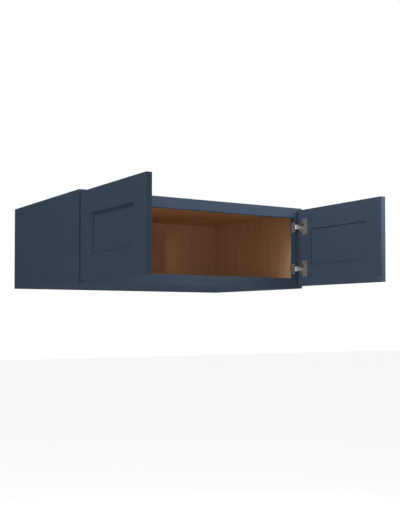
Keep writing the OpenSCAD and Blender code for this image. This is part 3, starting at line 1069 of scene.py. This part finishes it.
@dataclass
class CabinetBox:
    """The box behind the face frame, with its dowels and back screws."""

    edge: float = 0.3 * MM
    screw_head_r: float = 3.6 * MM
    screw_shank_r: float = 1.75 * MM
    screws_per_row: int = 4

    def build(self, joinery: Joinery) -> None:
        """Dresses the five panels and what joins them.

        Args:
            joinery: Finishes of the wooden pieces.
        """
        for side in ("left_side_panel", "right_side_panel"):
            finish_node(side, joinery.side(side), self.edge)
        for shelf, outside in (("top_panel", bare_ply(Along.X)), ("bottom_panel", Lacquer(Along.X))):
            finish_node(shelf, joinery.shelf(shelf, outside), self.edge)
        finish_node("back_panel", joinery.back("back_panel"), self.edge)
        grains = {"frame_dowels": Along.X, "box_dowels": Along.X, "frame_to_box_dowels": Along.Y}
        for dowels, grain in grains.items():
            finish_node(dowels, joinery.plain(dowels, bare_ply(grain)), self.edge)
        self.drive_back_screws()

    def drive_back_screws(self) -> None:
        """Puts a countersunk screw in each hole along the top and the bottom of the back."""
        low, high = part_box("back_screws")
        screw = Screw(Head.FLAT, self.screw_head_r, self.screw_shank_r, high.y - low.y)
        model = screw.model("back screw")
        into_wall_face = Matrix(((1, 0, 0), (0, 0, 1), (0, -1, 0))).to_4x4()
        reach = high.x - self.screw_head_r
        pitch = 2 * reach / (self.screws_per_row - 1)
        places = [
            Matrix.Translation((step * pitch - reach, high.y, z)) @ into_wall_face
            for z in (low.z + self.screw_head_r, high.z - self.screw_head_r)
            for step in range(self.screws_per_row)
        ]
        piece = Bench.copies("back_wood_screws", model, places)
        stand_for(piece, "back_screws", ZINC.material("back_screw_zinc"))
        bpy.data.objects.remove(model)


@dataclass
class FaceFrame:
    """The frame on the front of the box: two stiles and two rails."""

    edge: float = 0.4 * MM

    def build(self, joinery: Joinery) -> None:
        """Dresses the four members.

        Args:
            joinery: Finishes of the wooden pieces.
        """
        upright = joinery.plain("lacquer_on_frame_stiles", Lacquer(Along.Z))
        level = joinery.plain("lacquer_on_frame_rails", Lacquer(Along.X))
        for stile in ("frame_left_stile", "frame_right_stile"):
            finish_node(stile, upright, self.edge)
        for rail in ("frame_top_rail", "frame_bottom_rail"):
            finish_node(rail, level, self.edge)


@dataclass
class Door:
    """One door: two stiles, two rails, and a panel that floats in their grooves on rubber spacers."""

    side: str
    edge: float = 0.4 * MM
    bumper_foot: float = 0.9 * MM
    bumper_edge: float = 0.12 * MM
    bumper_sides: int = 40
    dome_rings: int = 5
    dome_top: float = 0.08

    def build(self, joinery: Joinery) -> None:
        """Dresses the five members, the spacers and the bumpers.

        Args:
            joinery: Finishes of the wooden pieces.
        """
        upright = joinery.plain(f"lacquer_on_{self.side}_door_stiles", Lacquer(Along.Z))
        level = joinery.plain(f"lacquer_on_{self.side}_door_rails", Lacquer(Along.Y))
        for member in ("hinge_stile", "free_stile", "panel"):
            finish_node(f"{self.side}_door_{member}", upright, self.edge)
        for member in ("top_rail", "bottom_rail"):
            finish_node(f"{self.side}_door_{member}", level, self.edge)
        rubber = SPACER_RUBBER.material(f"{self.side}_spacer_rubber")
        finish_node(f"{self.side}_door_spacers", rubber, self.edge)
        self.stick_bumpers()

    def model_bumper(self, radius: float, height: float) -> Shape:
        """Models one bumper: a foot, and a dome drawn up from it ring by ring.

        Args:
            radius: Radius of the foot.
            height: Height of the dome's top.

        Returns:
            The model, at the origin, standing on Z 0.
        """
        bumper = Bench.disc("bumper", radius, 0.0, self.bumper_foot, (0.0, 0.0), self.bumper_sides)
        Bench.edit(bumper)
        Bench.pick_faces(bumper, lambda place, normal: normal.z > FACING)
        rise = height - self.bumper_foot
        angles = [math.pi / 2 * step / self.dome_rings for step in range(self.dome_rings + 1)]
        for before, after in zip(angles, angles[1:]):
            shrink = max(math.cos(after), self.dome_top) / math.cos(before)
            Bench.extrude((0.0, 0.0, rise * (math.sin(after) - math.sin(before))))
            bpy.ops.transform.resize(value=(shrink, shrink, 1.0))
        Bench.done()
        Bench.finish(bumper, self.bumper_edge)
        return bumper

    def stick_bumpers(self) -> None:
        """Puts a bumper at the top and at the bottom of the door's free edge."""
        node = f"{self.side}_door_bumpers"
        low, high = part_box(node)
        radius = (high.y - low.y) / 2
        out = 1.0 if self.side == "left" else -1.0
        face = low.x if self.side == "left" else high.x
        upright = Matrix(((0, 0, out), (0, 1, 0), (-out, 0, 0))).to_4x4()
        model = self.model_bumper(radius, high.x - low.x)
        places = [
            Matrix.Translation((face, (low.y + high.y) / 2, z)) @ upright
            for z in (low.z + radius, high.z - radius)
        ]
        piece = Bench.copies(f"{self.side}_clear_bumpers", model, places)
        stand_for(piece, node, CLEAR_RUBBER.material(f"{self.side}_bumper_rubber"))
        bpy.data.objects.remove(model)


@dataclass
class Hinges:
    """The four concealed hinges: a pressed cup, an arm and a base plate each, with their screws."""

    cup_r: float = 17.5 * MM
    cup_wall: float = 0.8 * MM
    cup_rim: float = 0.35 * MM
    cup_floor_bend: float = 1.4 * MM
    cup_tab: float = 3.0 * MM
    flange: tuple[float, float, float] = (30.0 * MM, 60.0 * MM, 1.0 * MM)
    flange_shift: float = 19.5 * MM
    flange_corner: float = 3.0 * MM
    cup_screws: tuple[float, float] = (9.5 * MM, 45.0 * MM)
    seat_r: float = 4.1 * MM
    seat_d: float = 0.3 * MM
    neck_w: float = 10.0 * MM
    arm_t: float = 1.6 * MM
    arm_bend: float = 3.5 * MM
    arm_corner: float = 5.0 * MM
    # How far past the knuckle's front the arm's painted highlight reaches before its painted shade begins
    painted_highlight_reach: float = 0.8 * MM
    shoulder: float = 1.6 * MM
    groove_d: float = 0.3 * MM
    neck_rise: float = 0.2 * MM
    groove_band: tuple[float, float] = (0.55, 0.75)
    knuckle_r: float = 2.0 * MM
    pin_play: float = 0.05 * MM
    base_t: float = 1.3 * MM
    base_corner: float = 3.0 * MM
    lip: tuple[float, float] = (4.0 * MM, 1.0 * MM)
    lip_bend: float = 0.9 * MM
    lip_corner: float = 1.5 * MM
    base_screw_span: float = 26.0 * MM
    screw_hole_r: float = 1.65 * MM
    drill_reach: float = 5 * MM
    head_r: float = 3.2 * MM
    shank_r: float = 1.6 * MM
    cup_screw_l: float = 15.0 * MM
    base_screw_l: float = 17.0 * MM
    arm_screw_l: float = 12.0 * MM
    bore_reach: float = 3.0 * MM
    edge: float = 0.15 * MM
    cup_sides: int = 80
    bore_sides: int = 40
    drill_sides: int = 32
    cup_bend_rings: tuple[int, int] = (4, 3)
    corner_faces: int = 6
    neck_cuts: int = 20
    arm_bend_faces: int = 10
    lip_faces: tuple[int, int] = (5, 4)

    def build(self) -> None:
        """Models and dresses every piece of the hinges."""
        self.nickel = PlatedSteel().material("nickel_plated_steel")
        self.zinc = ZINC.material("zinc_plated_steel")
        self.read_frame()
        # Past this depth the arm's leg takes painted shade, and its neck before it a painted highlight
        bend = self.on_stile.translation.y + self.pin.x - self.knuckle_r + self.painted_highlight_reach
        self.hang("cup", "pressed_cup", self.model_cup(), self.on_door, self.nickel)
        bright_nickel = replace(NICKEL_PAINTED_LIT_AND_SHADED, painted_shade_from=bend).material("bright_nickel")
        self.hang("arm", "bent_arm", self.model_arm(), self.on_stile, bright_nickel)
        self.hang("base", "base_plate", self.model_base(), self.on_stile, self.nickel)
        self.drive_screws()
        self.dress_small_pieces()

    def read_frame(self) -> None:
        """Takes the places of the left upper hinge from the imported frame."""
        cup_low, cup_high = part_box("left_upper_hinge_cup")
        pin_low, pin_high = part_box("left_upper_hinge_pin")
        stile_low, stile_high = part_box("frame_left_stile")
        door_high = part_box("left_door_hinge_stile")[1]
        arm_low, arm_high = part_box("left_upper_hinge_arm")
        base_low, base_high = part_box("left_upper_hinge_base")
        self.height = (cup_low.z + cup_high.z) / 2
        self.cup_depth = door_high.x - cup_low.x
        self.cup_u = self.cup_tab + self.cup_r
        door_face = Vector((door_high.x, door_high.y, 0.0))
        door_turn = Matrix(((0, 0, 1), (-1, 0, 0), (0, -1, 0))).to_4x4()
        self.on_door = Matrix.Translation(door_face) @ door_turn
        stile_edge = Vector((stile_high.x, stile_low.y, 0.0))
        stile_turn = Matrix(((0, 0, 1), (1, 0, 0), (0, 1, 0))).to_4x4()
        self.on_stile = Matrix.Translation(stile_edge) @ stile_turn
        pin = (pin_low + pin_high) / 2
        self.pin = Vector((pin.y - stile_edge.y, 0.0, pin.x - stile_edge.x))
        self.pin_r = (pin_high.y - pin_low.y) / 2
        self.neck_top = door_face.x + self.flange[2] - stile_edge.x
        self.arm_end = arm_high.y - stile_edge.y
        self.arm_w = arm_high.z - arm_low.z
        self.base_l = base_high.y - stile_edge.y
        self.base_h = base_high.z - base_low.z
        self.stile_t = stile_high.y - stile_low.y

    def at_hinge(
        self, side: str, level: str, frame_of: Matrix, u: float = 0.0, h: float = 0.0
    ) -> Matrix:
        """Gives the place of a model at one hinge; the right side is the left one turned half round.

        Args:
            side: Left or right.
            level: Upper or lower.
            frame_of: The frame that the model is drawn in, on the left at mid height.
            u: Distance along the frame's X.
            h: Distance along the frame's Y.

        Returns:
            The place.
        """
        lift = Matrix.Translation((0.0, 0.0, self.height if level == "upper" else -self.height))
        turn = Matrix.Rotation(math.pi if side == "right" else 0.0, 4, "Y")
        return lift @ turn @ frame_of @ Matrix.Translation((u, h, 0.0))

    def hang(
        self, kind: str, title: str, model: Shape, frame_of: Matrix, material: bpy.types.Material
    ) -> None:
        """Puts a copy of a model in place at each hinge, and removes the model.

        Args:
            kind: What the model is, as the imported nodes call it.
            title: What the copies are called.
            model: The model.
            frame_of: The frame that it is drawn in.
            material: Its material.
        """
        for side, level in HINGES:
            place = self.at_hinge(side, level, frame_of)
            piece = Bench.copies(f"{side}_{level}_{title}", model, [place])
            stand_for(piece, f"{side}_{level}_hinge_{kind}", material)
        bpy.data.objects.remove(model)

    def sink_seat(self, piece: Shape, place: tuple[float, float], top: float) -> None:
        """Sinks a round seat for a screw into a plate, and drills its hole.

        Args:
            piece: The plate.
            place: Middle of the screw, in X and Y.
            top: Height of the plate's face.
        """
        seat = Bench.disc("seat", self.seat_r, top - self.seat_d, top + MM, place, self.bore_sides)
        Bench.combine(piece, seat, "DIFFERENCE")
        ends = (top - self.drill_reach, top + self.drill_reach)
        drill = Bench.disc("drill", self.screw_hole_r, *ends, place, self.drill_sides)
        Bench.combine(piece, drill, "DIFFERENCE")

    def model_cup(self) -> Shape:
        """Models the deep drawn cup with the flange at its mouth, in the door's frame.

        Returns:
            The cup.
        """
        place = (self.cup_u, 0.0)
        outer_rings, inner_rings = self.cup_bend_rings
        cup = Bench.disc("cup", self.cup_r, -self.cup_depth, self.cup_rim, place, self.cup_sides)
        Bench.edit(cup)
        rim = -FAR * self.cup_depth
        Bench.pick_edges(cup, lambda middle, way: middle.z < rim and abs(way.z) < SIDEWAYS)
        Bench.round_off(self.cup_floor_bend, outer_rings)
        Bench.done()
        Bench.combine(cup, self.model_flange(), "UNION")
        floor = self.cup_wall - self.cup_depth
        bore_r = self.cup_r - self.cup_wall
        bore = Bench.disc("bore", bore_r, floor, self.bore_reach, place, self.cup_sides)
        Bench.edit(bore)
        Bench.pick_edges(bore, lambda middle, way: middle.z < 0.5 * floor and abs(way.z) < SIDEWAYS)
        Bench.round_off(self.cup_floor_bend - self.cup_wall, inner_rings)
        Bench.done()
        Bench.combine(cup, bore, "DIFFERENCE")
        for half in (-0.5, 0.5):
            seat = (self.cup_u + self.cup_screws[0], half * self.cup_screws[1])
            self.sink_seat(cup, seat, self.flange[2])
        Bench.finish(cup, self.edge)
        return cup

    def model_flange(self) -> Shape:
        """Models the flat flange with its round corners, in the door's frame.

        Returns:
            The flange.
        """
        width, height, thick = self.flange
        middle = self.cup_u + self.flange_shift
        low = (middle - width / 2, -height / 2)
        high = (middle + width / 2, height / 2)
        flange = Bench.sheet("flange", low, high, 0.0, (1, 1))
        Bench.edit(flange)
        bpy.ops.mesh.select_mode(type="VERT")
        Bench.pick_all()
        Bench.round_off(self.flange_corner, self.corner_faces, points=True)
        Bench.pick_all()
        Bench.extrude((0.0, 0.0, thick))
        Bench.face_out()
        Bench.done()
        return flange

    def model_arm(self) -> Shape:
        """Models the arm in the stile's frame: drawn up from the knuckle, bent, and laid on the base.

        Returns:
            The arm.
        """
        front = self.pin.x - self.knuckle_r
        half = self.neck_w / 2
        cuts = (1, self.neck_cuts)
        arm = Bench.sheet("arm", (front, -half), (front + self.arm_t, half), self.pin.z, cuts)
        Bench.edit(arm)
        inner, outer = (share * half for share in self.groove_band)
        Bench.pick_points(arm, lambda co: co.x < front + NEAR and inner < abs(co.y) < outer)
        bpy.ops.transform.translate(value=(self.groove_d, 0.0, 0.0))
        bpy.ops.mesh.select_mode(type="FACE")
        Bench.pick_all()
        neck_end = self.neck_top + self.neck_rise
        Bench.extrude((0.0, 0.0, neck_end - self.pin.z))
        Bench.extrude((0.0, 0.0, self.shoulder))
        bpy.ops.transform.resize(value=(1.0, self.arm_w / self.neck_w, 1.0))
        top = self.base_t + self.arm_t
        Bench.extrude((0.0, 0.0, top - self.arm_bend - neck_end - self.shoulder))
        bpy.ops.mesh.spin(
            steps=self.arm_bend_faces,
            angle=math.pi / 2,
            center=(front + self.arm_bend, 0.0, top - self.arm_bend),
            axis=(0.0, -1.0, 0.0),
        )
        Bench.extrude((self.arm_end - front - self.arm_bend, 0.0, 0.0))
        Bench.pick_all()
        bpy.ops.mesh.remove_doubles(threshold=SEAM)
        Bench.face_out()
        Bench.pick_edges(arm, self.is_leg_corner)
        Bench.round_off(self.arm_corner, self.corner_faces)
        Bench.done()
        self.add_knuckle(arm)
        self.sink_seat(arm, (self.stile_t / 2, 0.0), top)
        Bench.finish(arm, self.edge)
        return arm

    def is_leg_corner(self, middle: Vector, way: Vector) -> bool:
        """Tells the two upright edges at the end of the arm's leg."""
        at_end = middle.x > self.arm_end - NEAR
        return at_end and abs(middle.y) > self.arm_w / 2 - NEAR and abs(way.z) > FACING

    def add_knuckle(self, arm: Shape) -> None:
        """Joins the knuckle to the lower end of the arm, and bores it for the pin.

        Args:
            arm: The arm.
        """
        for name, radius, half, operation in (
            ("knuckle", self.knuckle_r, self.neck_w / 2, "UNION"),
            ("pin bore", self.pin_r + self.pin_play, self.neck_w, "DIFFERENCE"),
        ):
            roller = Bench.disc(name, radius, -half, half, (0.0, 0.0), self.bore_sides)
            roller.matrix_world = Matrix.Translation(self.pin) @ Matrix.Rotation(math.pi / 2, 4, "X")
            bpy.ops.object.transform_apply(location=True, rotation=True, scale=True)
            Bench.combine(arm, roller, operation)

    def model_base(self) -> Shape:
        """Models the base plate in the stile's frame, with the lip that hooks over the stile's front.

        Returns:
            The base plate.
        """
        half = self.base_h / 2
        reach, thick = self.lip
        bend_faces, lip_corner_faces = self.lip_faces
        base = Bench.sheet("base", (0.0, -half), (self.base_l, half), 0.0, (1, 1))
        Bench.edit(base)
        Bench.pick_points(base, lambda co: co.x > 0.5 * self.base_l)
        Bench.round_off(self.base_corner, self.corner_faces, points=True)
        Bench.pick_all()
        Bench.extrude((0.0, 0.0, self.base_t))
        Bench.face_out()
        Bench.pick_faces(base, lambda place, normal: normal.x < -FACING)
        Bench.extrude((-thick, 0.0, 0.0))
        Bench.pick_faces(base, lambda place, normal: place.x < 0.0 and normal.z < -FACING)
        Bench.extrude((0.0, 0.0, -reach))
        upper = FAR * self.base_t
        Bench.pick_edges(base, lambda place, way: place.x < -FAR * thick and place.z > upper)
        Bench.round_off(self.lip_bend, bend_faces)
        Bench.pick_edges(base, lambda place, way: place.z < -FAR * reach and abs(way.x) > FACING)
        Bench.round_off(self.lip_corner, lip_corner_faces)
        Bench.done()
        for half_span in (-0.5, 0.5):
            self.sink_seat(base, (self.stile_t / 2, half_span * self.base_screw_span), self.base_t)
        Bench.finish(base, self.edge)
        return base

    def drive_screws(self) -> None:
        """Puts every screw of the hinges in its seat."""
        u, span = self.cup_screws
        mid = self.stile_t / 2
        model = Screw(Head.PAN, self.head_r, self.shank_r, self.cup_screw_l).model("cup screw")
        seat = Matrix.Translation((0.0, 0.0, self.flange[2] - self.seat_d))
        for side in SIDES:
            places = [
                self.at_hinge(side, level, self.on_door, self.cup_u + u, half * span) @ seat
                for level in LEVELS
                for half in (-0.5, 0.5)
            ]
            piece = Bench.copies(f"{side}_cup_wood_screws", model, places)
            stand_for(piece, f"{side}_cup_screws", self.zinc)
        bpy.data.objects.remove(model)
        for name, length, top, halves in (
            ("base", self.base_screw_l, self.base_t, (-0.5, 0.5)),
            ("arm", self.arm_screw_l, self.base_t + self.arm_t, (0.0,)),
        ):
            model = Screw(Head.PAN, self.head_r, self.shank_r, length).model(f"{name} screw")
            seat = Matrix.Translation((0.0, 0.0, top - self.seat_d))
            places = [
                self.at_hinge(side, level, self.on_stile, mid, half * self.base_screw_span) @ seat
                for side, level in HINGES
                for half in halves
            ]
            piece = Bench.copies(f"{name}_wood_screws", model, places)
            stand_for(piece, f"hinge_{name}_screws", self.zinc)
            bpy.data.objects.remove(model)

    def dress_small_pieces(self) -> None:
        """Dresses the pins, the springs and the dampers inside the cups."""
        plastic = DAMPER_PLASTIC.material("damper_plastic")
        for side, level in HINGES:
            for kind, material in (("springs", self.nickel), ("pin", self.zinc), ("damper", plastic)):
                finish_node(f"{side}_{level}_hinge_{kind}", material, self.edge)


@dataclass(frozen=True)
class Lamp:
    """A soft square lamp."""

    name: str
    place: tuple[float, float, float]
    target: tuple[float, float, float]
    size: float
    power: float

    def hang(self) -> None:
        """Makes the lamp, aimed at its target and unseen by the camera."""
        data = bpy.data.lights.new(self.name, "AREA")
        data.shape = "SQUARE"
        data.size = self.size
        data.energy = self.power
        lamp = bpy.data.objects.new(self.name, data)
        lamp.location = self.place
        aim = Vector(self.target) - Vector(self.place)
        lamp.rotation_euler = aim.to_track_quat("-Z", "Y").to_euler()
        lamp.visible_camera = False
        bpy.context.scene.collection.objects.link(lamp)


@dataclass
class Studio:
    """The camera, the soft lamps, the white surround and the pale floor far below the cabinet."""

    camera_place: tuple[float, float, float] = (-1.56528, -3.16211, -0.26989)
    camera_turn: float = 32.7688
    camera_tilt: float = 1.4632
    lens: float = 57.68
    sensor: float = 36.0
    sight: float = 200.0
    shift: tuple[float, float] = (-0.0342, 0.0597)
    ambient: float = 0.15
    floor_z: float = -1.9
    floor_size: float = 60.0
    floor_lift: float = 0.8
    floor_colour: Colour = (0.8, 0.8, 0.8, 1.0)
    lamps: tuple[Lamp, ...] = (
        Lamp("front key", (-1.63, -4.0, 1.03), (0.0, -0.5, 0.0), 1.4, 12.0),
        Lamp("low front key", (-1.67, -4.07, -0.69), (0.0, -0.5, 0.0), 1.4, 14.0),
        Lamp("side key", (-3.02, -1.03, 2.57), (0.0, -0.5, 0.0), 2.6, 70.0),
        Lamp("low side key", (-4.0, -0.9, 0.1), (-0.4, -0.6, 0.0), 1.4, 16.0),
        Lamp("door edge light", (0.8, -1.5, 0.35), (0.44, -1.06, 0.0), 0.25, 5.1),
        Lamp("door back light", (0.7, -1.6, 0.6), (0.44, -1.06, 0.0), 0.25, 6.0),
        Lamp("left rail light", (-0.3, -1.0, 0.5), (-0.1, -0.75, 0.0), 0.3, 0.8),
        Lamp("right rail light", (-0.08, -1.0, 0.9), (0.06, -0.75, 0.0), 0.3, 3.0),
        Lamp("right fill", (3.2, -0.6, 0.6), (0.3, -0.3, 0.0), 1.6, 18.0),
        Lamp("back fill", (1.5, 3.4, 1.0), (0.0, 0.0, 0.0), 1.8, 36.0),
        Lamp("low fill", (0.0, -0.5, -1.75), (0.0, -0.4, 0.0), 1.2, 9.5),
        Lamp("inner corner light", (0.2, -0.11, 0.0), (0.44, -0.09, 0.0), 0.16, 0.014),
    )

    def build(self) -> None:
        """Sets up everything round the cabinet."""
        self.place_camera()
        self.light_world()
        self.lay_floor()
        for lamp in self.lamps:
            lamp.hang()
        bpy.context.scene.view_settings.view_transform = "Standard"
        LOG.info("studio ready")

    def place_camera(self) -> None:
        """Makes the camera at the photograph's viewing angle."""
        data = bpy.data.cameras.new("camera")
        data.lens = self.lens
        data.sensor_width = self.sensor
        data.shift_x, data.shift_y = self.shift
        data.clip_end = self.sight
        camera = bpy.data.objects.new("camera", data)
        camera.location = self.camera_place
        tilt = math.radians(90 + self.camera_tilt)
        camera.rotation_euler = (tilt, 0.0, math.radians(-self.camera_turn))
        bpy.context.scene.collection.objects.link(camera)
        bpy.context.scene.camera = camera

    def light_world(self) -> None:
        """Surrounds the cabinet with white that is seen, and soft grey light that falls."""
        world = bpy.data.worlds.new("white surround")
        bpy.context.scene.world = world
        world.use_nodes = True
        graph = Graph(world.node_tree)
        falls, shows = (
            graph.wire(graph.node("ShaderNodeBackground", {}, {"Color": WHITE, "Strength": strength}))
            for strength in (self.ambient, 1.0)
        )
        mix = graph.node("ShaderNodeMixShader", {}, {0: graph.seen(), 1: falls, 2: shows})
        graph.node("ShaderNodeOutputWorld", {}, {"Surface": graph.wire(mix)})

    def lay_floor(self) -> None:
        """Lays a pale floor that is seen as white and keeps the cabinet's soft shadow."""
        Bench.clear()
        bpy.ops.mesh.primitive_plane_add(size=self.floor_size, location=(0.0, 0.0, self.floor_z))
        floor = bpy.context.active_object
        floor.name = "studio_floor"
        shader = Shader("pale floor")
        matt = {"Base Color": self.floor_colour, "Roughness": 1.0, "Specular IOR Level": 0.0}
        for name, value in matt.items():
            shader.feed(shader.surface.inputs[name], value)
        strength = shader.seen() * self.floor_lift
        glow = shader.node("ShaderNodeEmission", {}, {"Color": WHITE, "Strength": strength})
        parts = {0: shader.wire(shader.surface), 1: shader.wire(glow)}
        both = shader.node("ShaderNodeAddShader", {}, parts)
        shader.feed(shader.output.inputs["Surface"], shader.wire(both))
        floor.data.materials.append(shader.material)


def main() -> None:
    """Builds the studio and dresses every sub-assembly of the cabinet."""
    logging.basicConfig(level=logging.INFO, format="%(name)s: %(message)s")
    Studio().build()
    joinery = Joinery()
    CabinetBox().build(joinery)
    FaceFrame().build(joinery)
    for side in SIDES:
        Door(side).build(joinery)
    Hinges().build()
    bpy.context.view_layer.update()


if __name__ == "__main__":
    main()
